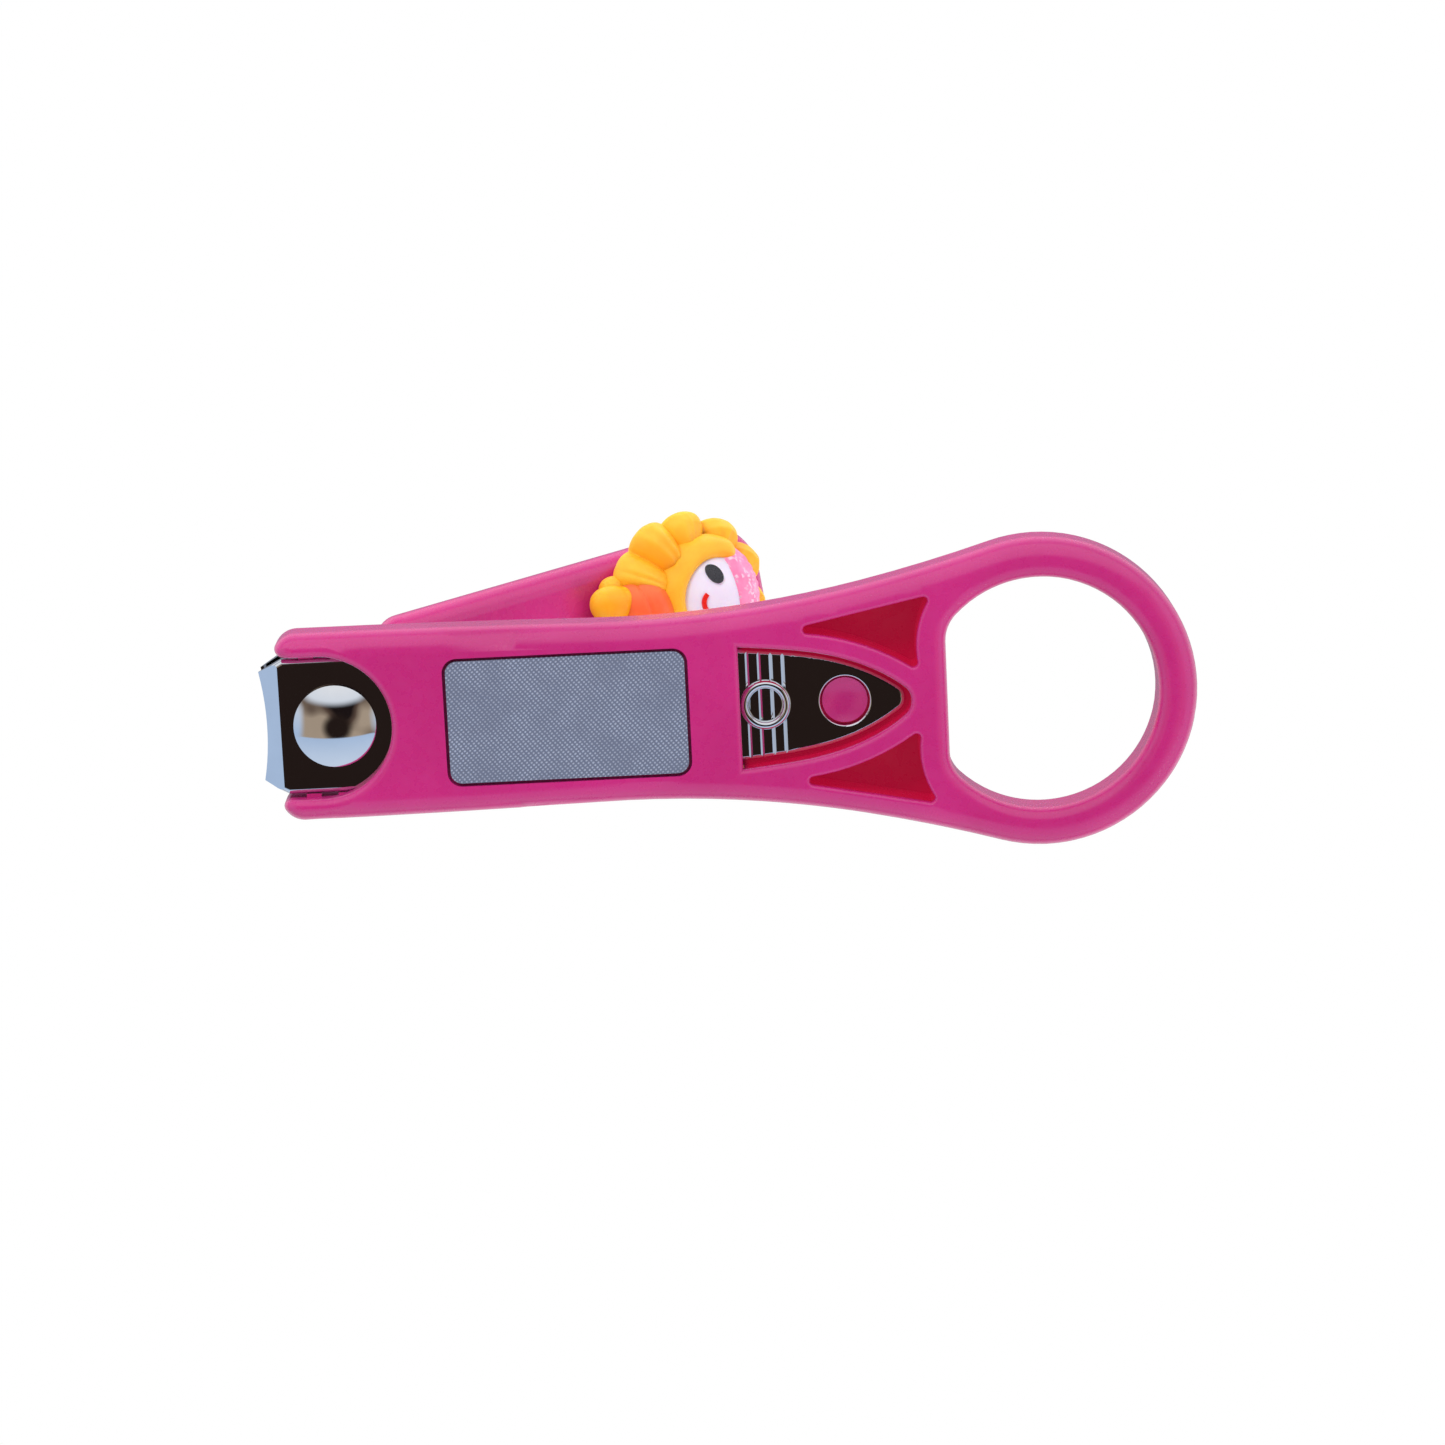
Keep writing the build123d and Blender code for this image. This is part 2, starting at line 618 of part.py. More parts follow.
def handle_shell():
    """The moulded handle: channel for the leaves, notch, window, pockets, boss and finger ring."""
    shell = handle_blank()
    shell = cut_with_rim(shell, notch_face() + arm_tips(), CUT, NOTCH_EDGE_R)
    shell -= prism(channel_face(), FLOOR_T, CUT)
    shell -= prism(rail_opening(), FLOOR_T, CUT)
    shell = cut_with_rim(shell, window_face(), LOWER_TOP_Z + ROOF_GAP, WINDOW_EDGE_R)
    for hand in (1, -1):
        shell = cut_with_rim(shell, pocket_face(hand), POCKET_DEPTH, POCKET_RIM_R)
    shell -= file_seat()
    shell += side_ribs()
    return shell + retaining_boss()


def file_plate():
    """Steel nail file, just below the face of the handle."""
    plate = prism(RectangleRounded(FILE_L, FILE_W, FILE_R), FILE_SUNK, FILE_SUNK + FILE_T)
    return Pos(FILE_X + FILE_L / 2, 0, 0) * plate


def file_pad():
    """Adhesive pad between the file and the floor of its recess."""
    z = FILE_SUNK + FILE_T
    inset = 2 * FILE_PAD_INSET
    pad = RectangleRounded(FILE_L - inset, FILE_W - inset, FILE_R - FILE_PAD_INSET / 2)
    return Pos(FILE_X + FILE_L / 2, 0, 0) * prism(pad, z, z + FILE_PAD_T)


# Doll


def face_ball():
    """Radius of the dome of the face, and the height of its centre above the cover."""
    radius = (FACE_R**2 + FACE_RISE**2) / (2 * FACE_RISE)
    return radius, DOLL_PAD_T + MANE_T + FACE_RISE - radius


def face_solid():
    """The domed head: a short drum with a spherical top."""
    base = DOLL_PAD_T + MANE_T
    radius, centre = face_ball()
    ball = Pos(0, 0, centre) * Sphere(radius)
    cap = ball & prism(Circle(FACE_R), base, base + CUT)
    return Pos(FACE_U, 0, 0) * (prism(Circle(FACE_R), base - FACE_SINK, base) + cap)


def face_layer(outline, thickness):
    """A thin layer on the dome of the face, inside an outline seen from above."""
    radius, centre = face_ball()
    skin = Pos(0, 0, centre) * (Sphere(radius + thickness) - Sphere(radius))
    column = prism(outline & Circle(FACE_R), DOLL_PAD_T + MANE_T, CUT)
    return Pos(FACE_U, 0, 0) * (column & skin)


def doll_head():
    """White head."""
    return DOLL_FRAME * face_solid()


def doll_fringe():
    """Pink fringe over the forehead, cut straight."""
    outline = Pos(FRINGE_LINE + CUT, 0) * Rectangle(2 * CUT, 2 * CUT)
    return DOLL_FRAME * (face_layer(outline, FRINGE_T) - mane_solid())


def doll_eyes():
    """Two oval eyes."""
    eyes = Sketch()
    for hand in (1, -1):
        eyes += Pos(EYE_U, hand * EYE_B) * Rot(0, 0, hand * EYE_TILT) * Ellipse(EYE_RX, EYE_RY)
    return DOLL_FRAME * face_layer(eyes, FEATURE_T)


def doll_smile():
    """A curved line for the mouth."""
    span = radians(SMILE_HALF_ANGLE)
    outer, inner = SMILE_R + SMILE_W / 2, SMILE_R - SMILE_W / 2
    far = outer * 3
    wedge = Polyline((0, 0), (-far, far * tan(span)), (-far, -far * tan(span)), close=True)
    band = (Circle(outer) - Circle(inner)) & make_face(wedge)
    return DOLL_FRAME * face_layer(Pos(SMILE_U + SMILE_R, 0) * band, FEATURE_T)


def collar_solid():
    """The raised collar that runs round the chin and the cheeks."""
    top = DOLL_PAD_T + MANE_T + COLLAR_T
    drum = prism(Circle(COLLAR_R), DOLL_PAD_T + MANE_T / 2, top)
    collar = fillet(edges_at(drum, top), COLLAR_EDGE_R)
    keep = Pos(COLLAR_END - CUT, 0, 0) * Box(2 * CUT, 2 * CUT, 2 * CUT)
    return Pos(FACE_U, 0, 0) * (collar & keep)


def mane_solid():
    """Scalloped ring of petals with a raised collar round the face."""
    lobe_centre = MANE_R - LOBE_R
    petals = Circle(lobe_centre + LOBE_ROOT)
    for i in range(LOBES):
        angle = radians(360 / LOBES * (i + 0.5))
        petals += Pos(lobe_centre * cos(angle), lobe_centre * sin(angle)) * Circle(LOBE_R)
    top = DOLL_PAD_T + MANE_T
    mane = prism(petals, DOLL_PAD_T, top)
    mane = Pos(MANE_U, 0, 0) * fillet(edges_at(mane, top), MANE_EDGE_R)
    return mane + collar_solid() - face_solid()


def doll_mane():
    """The petal collar on the lever."""
    return DOLL_FRAME * mane_solid()


def above_pad(shape):
    """The part of a shape that stands above the doll's pad."""
    return shape & Pos(MANE_U, 0, DOLL_PAD_T + CUT) * Box(2 * CUT, 2 * CUT, 2 * CUT)


def body_solid():
    """Rounded body that lies on the lever and runs under the collar."""
    length = MANE_U - BODY_START
    trunk = Rot(0, 90, 0) * Cylinder(BODY_R, length)
    trunk = fillet(trunk.edges().filter_by(GeomType.CIRCLE), BODY_END_R)
    return above_pad(Pos(BODY_START + length / 2, 0, BODY_CENTRE_H) * trunk)


def limb_solids(radius, length, along, side, height):
    """A pair of rounded limbs that point towards the pin."""
    limb = Rot(0, 90, 0) * Cylinder(radius, length)
    limb = fillet(limb.edges().filter_by(GeomType.CIRCLE), radius * LIMB_ROUND)
    limbs = Part() + [Pos(along, hand * side, height) * limb for hand in (1, -1)]
    return above_pad(limbs)


def doll_body():
    """Orange body."""
    clear = mane_solid() + face_solid()
    return DOLL_FRAME * (body_solid() - clear)


def doll_hands():
    """Two hands at the sides of the body."""
    hands = limb_solids(HAND_R, HAND_L, HAND_U, HAND_B, HAND_H)
    return DOLL_FRAME * (hands - body_solid() - mane_solid())


def doll_feet():
    """Two feet at the end of the body."""
    feet = limb_solids(FOOT_R, FOOT_L, FOOT_U, FOOT_B, FOOT_H)
    hands = limb_solids(HAND_R, HAND_L, HAND_U, HAND_B, HAND_H)
    return DOLL_FRAME * (feet - body_solid() - hands)


def doll_pad():
    """Adhesive pad between the cover and the doll."""
    pad = Pos(DOLL_PAD_U, 0) * RectangleRounded(DOLL_PAD_L, DOLL_PAD_W, DOLL_PAD_R)
    return DOLL_FRAME * prism(pad, 0, DOLL_PAD_T)


NODES = {
    "handle_shell": handle_shell,
    "file_plate": file_plate,
    "file_pad": file_pad,
    "lower_jaw": lower_jaw,
    "tail_rivet": tail_rivet,
    "upper_jaw": upper_jaw,
    "post": post,
    "cross_pin": cross_pin,
    "lever_plate": lambda: LEVER_FRAME * lever_steel(),
    "lever_cover": lambda: LEVER_FRAME * lever_cover(),
    "doll_pad": doll_pad,
    "doll_body": doll_body,
    "doll_mane": doll_mane,
    "doll_head": doll_head,
    "doll_fringe": doll_fringe,
    "doll_eyes": doll_eyes,
    "doll_smile": doll_smile,
    "doll_hands": doll_hands,
    "doll_feet": doll_feet,
}


def main():
    os.makedirs("parts", exist_ok=True)
    for name, make in NODES.items():
        export_step(Pos(-MIDDLE_X, 0, 0) * make(), f"parts/{name}.step")


main()
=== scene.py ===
import json
from math import cos, pi, radians, sin, sqrt

import bmesh
import bpy
from mathutils import Matrix, Vector


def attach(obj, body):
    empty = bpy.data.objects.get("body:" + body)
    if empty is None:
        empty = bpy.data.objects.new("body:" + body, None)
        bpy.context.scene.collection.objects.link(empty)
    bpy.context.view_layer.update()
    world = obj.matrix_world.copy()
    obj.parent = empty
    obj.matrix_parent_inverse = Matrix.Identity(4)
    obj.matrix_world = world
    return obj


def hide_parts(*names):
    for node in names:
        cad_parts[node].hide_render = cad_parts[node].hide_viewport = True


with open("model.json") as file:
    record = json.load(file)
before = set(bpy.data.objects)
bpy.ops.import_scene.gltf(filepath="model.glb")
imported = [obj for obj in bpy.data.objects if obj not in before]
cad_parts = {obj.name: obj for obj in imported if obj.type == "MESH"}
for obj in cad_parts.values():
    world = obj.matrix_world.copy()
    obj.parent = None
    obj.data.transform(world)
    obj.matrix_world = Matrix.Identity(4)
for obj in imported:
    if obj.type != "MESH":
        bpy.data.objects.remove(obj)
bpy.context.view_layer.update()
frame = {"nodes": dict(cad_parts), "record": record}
nodes = frame["nodes"]
scene = bpy.context.scene
scene.view_settings.view_transform = "Standard"
scene.view_settings.look = "None"

MM = 0.001
TILT = radians(11.0)
ROLL = radians(2.77)
DISTANCE = 0.450
FIELD = 0.1357
TARGET = Vector((-0.00068, 0.00116, 0.0))
BACK = Vector((0, -sin(TILT), -cos(TILT)))  # from the object towards the camera


# Camera


def add_camera():
    right0 = Vector((1, 0, 0))
    up0 = BACK.cross(right0)
    right = cos(ROLL) * right0 - sin(ROLL) * up0
    up = sin(ROLL) * right0 + cos(ROLL) * up0
    data = bpy.data.cameras.new("camera")
    data.sensor_width = 36
    data.lens = 36 * DISTANCE / FIELD
    data.clip_start = 0.01
    data.clip_end = 20
    camera = bpy.data.objects.new("camera", data)
    scene.collection.objects.link(camera)
    place = Matrix((right, up, BACK)).transposed().to_4x4()
    place.translation = TARGET + BACK * DISTANCE
    camera.matrix_world = place
    scene.camera = camera


# Node helpers


def new_material(name):
    mat = bpy.data.materials.new(name)
    mat.use_nodes = True
    tree = mat.node_tree
    shader = next(n for n in tree.nodes if n.type == "BSDF_PRINCIPLED")
    return mat, tree, shader


def add(tree, kind, inputs=None, **props):
    node = tree.nodes.new(kind)
    for key, value in props.items():
        setattr(node, key, value)
    for key, value in (inputs or {}).items():
        if hasattr(value, "links") or isinstance(value, bpy.types.NodeSocket):
            tree.links.new(value, node.inputs[key])
        else:
            node.inputs[key].default_value = value
    return node


def ramp(tree, factor, stops, interpolation="LINEAR"):
    node = add(tree, "ShaderNodeValToRGB", {0: factor})
    band = node.color_ramp
    band.interpolation = interpolation
    while len(band.elements) > 1:
        band.elements.remove(band.elements[-1])
    band.elements[0].position = stops[0][0]
    band.elements[0].color = (*stops[0][1], 1)
    for position, color in stops[1:]:
        element = band.elements.new(position)
        element.color = (*color, 1)
    return node.outputs["Color"]


def math(tree, operation, a, b=0.0, clamp=False):
    node = add(tree, "ShaderNodeMath", {0: a, 1: b}, operation=operation, use_clamp=clamp)
    return node.outputs[0]


def smooth(tree, value, low, high, to_low=0.0, to_high=1.0):
    node = add(
        tree,
        "ShaderNodeMapRange",
        {"Value": value, "From Min": low, "From Max": high, "To Min": to_low, "To Max": to_high},
        interpolation_type="SMOOTHSTEP",
    )
    return node.outputs["Result"]


def mix(tree, factor, a, b, blend="MIX"):
    node = add(tree, "ShaderNodeMix", data_type="RGBA", blend_type=blend)
    for index, value in ((0, factor), (6, a), (7, b)):
        if isinstance(value, bpy.types.NodeSocket):
            tree.links.new(value, node.inputs[index])
        elif index == 0:
            node.inputs[0].default_value = value
        else:
            node.inputs[index].default_value = (*value, 1)
    return node.outputs[2]


def coords(tree):
    return add(tree, "ShaderNodeTexCoord").outputs["Object"]


def noise(tree, vector, scale, detail=3.0, rough=0.55):
    inputs = {"Vector": vector, "Scale": scale, "Detail": detail, "Roughness": rough}
    return add(tree, "ShaderNodeTexNoise", inputs).outputs["Fac"]


def bump(tree, shader, height, strength, distance=0.0001):
    node = add(tree, "ShaderNodeBump", {"Height": height, "Strength": strength, "Distance": distance})
    tree.links.new(node.outputs["Normal"], shader.inputs["Normal"])
    return node


def dot(tree, vector, axis):
    node = add(tree, "ShaderNodeVectorMath", {0: vector, 1: axis}, operation="DOT_PRODUCT")
    return node.outputs["Value"]


def link(tree, shader, **sockets):
    """Link values to the shader's inputs, named with _ for a space."""
    for name, value in sockets.items():
        tree.links.new(value, shader.inputs[name.replace("_", " ")])


def srgb(r, g, b):
    """Linear colour from display values of 0 to 255."""
    def lin(v):
        v /= 255
        return v / 12.92 if v <= 0.04045 else ((v + 0.055) / 1.055) ** 2.4

    return (lin(r), lin(g), lin(b))


# Materials

# Where the handle's pockets get a painted crimson shade and painted glow; the boss is left out of it.
RECESS_X = (1.4, 20.1)
RECESS_HALF_Y = 6.5  # at the middle of the part; it widens backwards
RECESS_FLARE = 0.19
RECESS_Z = (0.75, 4.6)
BOSS_X = 10.95
BOSS_Z = 2.1
BOSS_REACH = (2.35, 2.75)
RECESS_PAINTED_GLOW = 0.75


def inside(tree, value, low, high, blend):
    """1 where a value lies between two limits, with a soft edge."""
    rise = smooth(tree, value, low - blend, low + blend)
    fall = smooth(tree, value, high + blend, high - blend)
    return math(tree, "MULTIPLY", rise, fall)


def painted_recess_shade_mask(tree, at):
    """Mask of the walls and floors of the handle's pockets and window, for a painted crimson shade and
    painted glow that stand in for light reddened in the plastic.
    """
    axes = add(tree, "ShaderNodeSeparateXYZ", {"Vector": at}).outputs
    along = inside(tree, axes["X"], RECESS_X[0] * MM, RECESS_X[1] * MM, 0.3 * MM)
    flare = math(tree, "MULTIPLY", axes["X"], RECESS_FLARE)
    width = math(tree, "SUBTRACT", math(tree, "ABSOLUTE", axes["Y"]), flare)
    across = inside(tree, width, -RECESS_HALF_Y * MM, RECESS_HALF_Y * MM, 0.2 * MM)
    up = inside(tree, axes["Z"], RECESS_Z[0] * MM, RECESS_Z[1] * MM, 0.3 * MM)
    centre = (BOSS_X * MM, 0, BOSS_Z * MM)
    boss = add(tree, "ShaderNodeVectorMath", {0: at, 1: centre}, operation="DISTANCE")
    off_boss = smooth(tree, boss.outputs["Value"], BOSS_REACH[0] * MM, BOSS_REACH[1] * MM)
    box = math(tree, "MULTIPLY", math(tree, "MULTIPLY", along, across), up)
    return math(tree, "MULTIPLY", box, off_boss)


def plastic(name, deep, light, rough=0.33, scatter=0.12, radius=(0.6, 0.12, 0.2), recess_painted_shade=None):
    """Moulded plastic: slow colour drift, fine grain and faint flow marks."""
    mat, tree, shader = new_material(name)
    at = coords(tree)
    drift = noise(tree, at, 60, 3)
    color = ramp(tree, drift, [(0.3, deep), (0.7, light)])
    # Painted shade and painted glow: the pockets turn crimson and emit that colour, as if lit through
    # the plastic.
    if recess_painted_shade:
        painted_shade_mask = painted_recess_shade_mask(tree, at)
        color = mix(tree, painted_shade_mask, color, recess_painted_shade)
        shader.inputs["Emission Color"].default_value = (*recess_painted_shade, 1)
        link(tree, shader, Emission_Strength=math(tree, "MULTIPLY", painted_shade_mask, RECESS_PAINTED_GLOW))
    link(tree, shader, Base_Color=color)
    wear = noise(tree, at, 900, 4)
    link(tree, shader, Roughness=smooth(tree, wear, 0.35, 0.75, rough - 0.05, rough + 0.09))
    shader.inputs["Subsurface Weight"].default_value = scatter
    shader.inputs["Subsurface Radius"].default_value = radius
    shader.inputs["Subsurface Scale"].default_value = 0.0016
    shader.inputs["IOR"].default_value = 1.5
    shader.inputs["Specular IOR Level"].default_value = 0.5
    shader.inputs["Coat Weight"].default_value = 0.5
    shader.inputs["Coat Roughness"].default_value = 0.16
    grain = noise(tree, at, 5200, 2)
    flow = noise(tree, at, 350, 2)
    height = math(tree, "ADD", math(tree, "MULTIPLY", grain, 0.25), flow)
    bump(tree, shader, height, 0.06, 0.00005)
    return mat


def chrome(name, rough=0.05, tint=(0.80, 0.81, 0.83)):
    """Polished chrome plate: hairlines, a few pits and slight haze."""
    mat, tree, shader = new_material(name)
    at = coords(tree)
    shader.inputs["Metallic"].default_value = 1.0
    haze = noise(tree, at, 140, 4)
    dark = tuple(v * 0.93 for v in tint)
    link(tree, shader, Base_Color=ramp(tree, haze, [(0.35, dark), (0.65, tint)]))
    streak = add(tree, "ShaderNodeMapping", {"Vector": at, "Scale": (300, 9000, 9000)}).outputs[0]
    hair = noise(tree, streak, 1.0, 2)
    link(tree, shader, Roughness=smooth(tree, hair, 0.3, 0.9, rough * 0.6, rough * 1.6))
    wave = noise(tree, at, 220, 2)
    height = math(tree, "ADD", wave, math(tree, "MULTIPLY", hair, 0.02))
    bump(tree, shader, height, 0.10, 0.00004)
    return mat


def knurl(name):
    """Nail file: fine rows of raised teeth on a diagonal, duller where they are low and darker there
    with painted shade.
    """
    mat, tree, shader = new_material(name)
    at = coords(tree)
    turned = add(tree, "ShaderNodeMapping", {"Vector": at, "Rotation": (0, 0, radians(38))}).outputs[0]

    def rows(scale, distortion, detail_scale, direction):
        inputs = {"Vector": turned, "Scale": scale, "Distortion": distortion, "Detail": 1.0}
        inputs["Detail Scale"] = detail_scale
        return add(tree, "ShaderNodeTexWave", inputs, bands_direction=direction).outputs["Fac"]

    teeth = math(tree, "MULTIPLY", rows(1080, 0.7, 4.0, "Y"), rows(860, 1.2, 3.0, "X"))
    patch = noise(tree, at, 240, 4)
    worn = smooth(tree, patch, 0.30, 0.72, 0.65, 1.15)
    height = math(tree, "MULTIPLY", teeth, worn)
    # Colour from the teeth's height: darker where low, a painted shade in the grooves.
    low = srgb(128, 136, 158)
    high = srgb(188, 196, 214)
    link(tree, shader, Base_Color=ramp(tree, height, [(0.15, low), (0.75, high)]))
    shader.inputs["Metallic"].default_value = 0.55
    link(tree, shader, Roughness=smooth(tree, height, 0.0, 0.8, 0.62, 0.36))
    bump(tree, shader, height, 0.75, 0.00008)
    return mat


def foam(name, color):
    """Adhesive foam: small open cells, darker in their hollows with painted shade."""
    mat, tree, shader = new_material(name)
    at = coords(tree)
    cell = add(tree, "ShaderNodeTexVoronoi", {"Vector": at, "Scale": 4200}).outputs["Distance"]
    # Darker in the middle of each cell, where the bump is low: painted shade in the hollows.
    dark = tuple(v * 0.7 for v in color)
    link(tree, shader, Base_Color=ramp(tree, cell, [(0.1, dark), (0.6, color)]))
    shader.inputs["Roughness"].default_value = 0.85
    bump(tree, shader, cell, 0.4)
    return mat


def vinyl(name, deep, light, rough=0.42, scatter=0.35, scale=220):
    """Soft moulded vinyl: mottled colour, satin skin, fine dimples."""
    mat, tree, shader = new_material(name)
    at = coords(tree)
    tone = noise(tree, at, scale, 4)
    link(tree, shader, Base_Color=ramp(tree, tone, [(0.3, deep), (0.72, light)]))
    skin = noise(tree, at, 1500, 3)
    link(tree, shader, Roughness=smooth(tree, skin, 0.3, 0.8, rough - 0.06, rough + 0.1))
    shader.inputs["Subsurface Weight"].default_value = scatter
    shader.inputs["Subsurface Radius"].default_value = (1.0, 0.5, 0.25)
    shader.inputs["Subsurface Scale"].default_value = 0.0012
    bump(tree, shader, math(tree, "ADD", skin, noise(tree, at, 500, 2)), 0.2, 0.00006)
    return mat


def glitter(name, deep, light):
    """Vinyl with small flakes in it."""
    mat, tree, shader = new_material(name)
    at = coords(tree)
    flakes = add(tree, "ShaderNodeTexVoronoi", {"Vector": at, "Scale": 3400})
    shade = add(tree, "ShaderNodeSeparateColor", {"Color": flakes.outputs["Color"]}).outputs[0]
    spark = smooth(tree, shade, 0.72, 0.95)
    tone = ramp(tree, noise(tree, at, 700, 4), [(0.3, deep), (0.7, light)])
    link(tree, shader, Base_Color=mix(tree, spark, tone, srgb(255, 205, 225)))
    link(tree, shader, Roughness=smooth(tree, spark, 0, 1, 0.5, 0.2))
    link(tree, shader, Metallic=math(tree, "MULTIPLY", spark, 0.35))
    bump(tree, shader, shade, 0.35, 0.00006)
    return mat


def paint(name, color, second, rough=0.25):
    """Glossy paint with a slightly uneven coat."""
    mat, tree, shader = new_material(name)
    at = coords(tree)
    coat = noise(tree, at, 2600, 3)
    link(tree, shader, Base_Color=ramp(tree, coat, [(0.35, color), (0.7, second)]))
    skin = noise(tree, at, 5000, 2)
    link(tree, shader, Roughness=smooth(tree, skin, 0.3, 0.7, rough, rough + 0.15))
    bump(tree, shader, noise(tree, at, 3000, 2), 0.25, 0.00004)
    return mat


def dress(name, mat):
    for slot in nodes[name].material_slots:
        slot.material = mat


def dress_all():
    # The handle's pockets get a painted crimson shade and painted glow.
    pink = plastic("handle_pink", srgb(180, 33, 110), srgb(193, 40, 121), 0.30, recess_painted_shade=srgb(150, 8, 46))
    # The lever cover is the handle's pink made a little lighter: painted light for the sheen it
    # catches.
    cover_lit_pink = plastic("cover_pink", srgb(188, 38, 114), srgb(200, 44, 124), 0.28)
    leaf = chrome("leaf_chrome", 0.04)
    looks = {
        "handle_shell": pink,
        "lever_cover": cover_lit_pink,
        "lower_jaw": leaf,
        "upper_jaw": leaf,
        "tail_rivet": chrome("rivet_chrome", 0.06),
        "post": chrome("post_chrome", 0.05, (0.82, 0.83, 0.85)),
        "cross_pin": chrome("pin_chrome", 0.12),
        "lever_plate": chrome("lever_chrome", 0.09),
        "file_plate": knurl("file_steel"),
        "file_pad": foam("file_foam", srgb(190, 190, 182)),
        "doll_pad": foam("doll_foam", srgb(205, 205, 198)),
        "doll_body": vinyl("doll_orange", srgb(240, 92, 40), srgb(252, 124, 66)),
        "doll_mane": vinyl("doll_yellow", srgb(250, 168, 22), srgb(253, 196, 52)),
        "doll_hands": vinyl("doll_hand_yellow", srgb(250, 165, 20), srgb(253, 190, 40)),
        "doll_feet": vinyl("doll_foot_yellow", srgb(250, 165, 15), srgb(253, 188, 30)),
        "doll_head": vinyl("doll_white", srgb(222, 216, 232), srgb(232, 228, 238), 0.4, 0.2),
        "doll_fringe": glitter("doll_pink", srgb(245, 120, 165), srgb(250, 150, 190)),
        "doll_eyes": paint("doll_black", srgb(38, 38, 42), srgb(52, 52, 56)),
        "doll_smile": paint("doll_red", srgb(215, 25, 12), srgb(230, 45, 22)),
    }
    for name, mat in looks.items():
        dress(name, mat)
    return looks


# Doll

JOINTS = {joint["name"]: joint for joint in frame["record"]["behaviour"]["joints"]}
PIN = Vector(JOINTS["lever_press"]["pos_m"])
LEVER_RAISE = radians(33.0)
LEVER_SWIVEL = radians(-8.0)
COVER_UNDER = 2.1
DOLL_SIDE = 0.8
PAD_TOP = 0.2
DOLL_MATRIX = (
    Matrix.Translation(PIN)
    @ Matrix.Rotation(LEVER_SWIVEL, 4, "Z")
    @ Matrix.Rotation(-LEVER_RAISE, 4, "Y")
    @ Matrix.Scale(MM, 4)
    @ Matrix.Translation((0, 0, -COVER_UNDER))
    @ Matrix.Rotation(pi, 4, "X")
    @ Matrix.Translation((0, DOLL_SIDE, 0))
)
MANE_U = 38.6
MANE_R = 8.9
PETALS = 11
PETAL_R = 2.5
LOBE_DEPTH = 0.72
FACE_U = 40.0
FACE_BALL = 5.79
FACE_CENTRE_H = 0.51


def ease(value, low, high):
    t = min(1.0, max(0.0, (value - low) / (high - low)))
    return t * t * (3 - 2 * t)


def between(a, b, c, d, t):
    """A value on the smooth curve from b to c, with a before them and d after."""
    square = 2 * a - 5 * b + 4 * c - d
    cube = 3 * b - a - 3 * c + d
    return 0.5 * (2 * b + (c - a) * t + square * t * t + cube * t**3)


def refine(points, steps):
    """Points on a smooth curve through the given ones."""
    fine = []
    last = len(points) - 1
    for k in range(last):
        around = [points[min(last, max(0, k + d))] for d in (-1, 0, 1, 2)]
        for n in range(steps):
            fine.append(tuple(between(*values, n / steps) for values in zip(*around)))
    return fine + [points[last]]


def doll_piece(name, rings, closed_ends, mat, replaces):
    """A skin over a stack of closed rings, given in the doll's own millimetres."""
    mesh = bpy.data.meshes.new(name)
    bm = bmesh.new()
    loops = [[bm.verts.new(DOLL_MATRIX @ Vector(p)) for p in ring] for ring in rings]
    count = len(loops[0])
    for lower, upper in zip(loops, loops[1:]):
        for i in range(count):
            j = (i + 1) % count
            bm.faces.new((lower[i], lower[j], upper[j], upper[i]))
    for loop, wanted in zip((loops[0], loops[-1]), closed_ends):
        if wanted:
            centre = bm.verts.new(sum((v.co for v in loop), Vector()) / count)
            for i in range(count):
                bm.faces.new((centre, loop[i], loop[(i + 1) % count]))
    bmesh.ops.recalc_face_normals(bm, faces=bm.faces)
    bm.to_mesh(mesh)
    bm.free()
    for polygon in mesh.polygons:
        polygon.use_smooth = True
    mesh.materials.append(mat)
    piece = bpy.data.objects.new(name, mesh)
    scene.collection.objects.link(piece)
    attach(piece, "lever")
    if replaces:
        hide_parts(replaces)
    return piece


def petal_shape(angle):
    """Radius of the petals' outline, and how near the angle is to a crease, from 0 to 1."""
    step = 2 * pi / PETALS
    turn = angle / step - 0.5
    offset = (turn - round(turn)) * step
    centre = MANE_R - PETAL_R
    reach = centre * cos(offset) + sqrt(max(0.0, PETAL_R**2 - (centre * sin(offset)) ** 2))
    size = 1 + 0.035 * cos(angle - 2.3) + 0.02 * sin(3 * angle + 0.6)
    reach = MANE_R - (MANE_R - reach) * LOBE_DEPTH
    return reach * size, abs(offset) / (step / 2), round(turn)


# From the middle outwards: share of the petal's reach, height, depth of the folds.
PETAL_PROFILE = [
    (0.30, 3.3, 0.1), (0.45, 3.6, 0.3), (0.60, 3.7, 0.8), (0.72, 3.45, 1.0),
    (0.82, 3.0, 1.0), (0.90, 2.5, 1.0), (0.955, 1.95, 0.9), (0.988, 1.5, 0.7),
    (1.0, 1.05, 0.5), (0.985, 0.65, 0.3), (0.93, 0.35, 0.1), (0.80, 0.25, 0.0),
]
# From the outside inwards: radius round the face, height.
COLLAR_PROFILE = [
    (6.35, 2.3), (6.2, 3.1), (5.95, 3.8), (5.6, 4.3), (5.15, 4.65),
    (4.7, 4.8), (4.3, 4.68), (4.0, 4.35), (3.8, 3.9),
]
PROFILE_STEPS = 4
COLLAR_FOOT = 1.4
FRINGE_LINE = 1.4
FRINGE_SPREAD = 1.12
FRINGE_LIFT = 0.42
BODY_HEIGHT = 1.5
FLOOR_LIFT = 0.03  # between the pad and what lies on it
FOOT_PLACE = (29.35, 2.0, 2.35)
FOOT_SIZE = (2.5, 1.75, 1.75)
HAND_PLACE = (30.2, 3.4, 1.25)
HAND_SIZE = (1.45, 1.1, 1.15)
LIMB_LEAN = 0.15


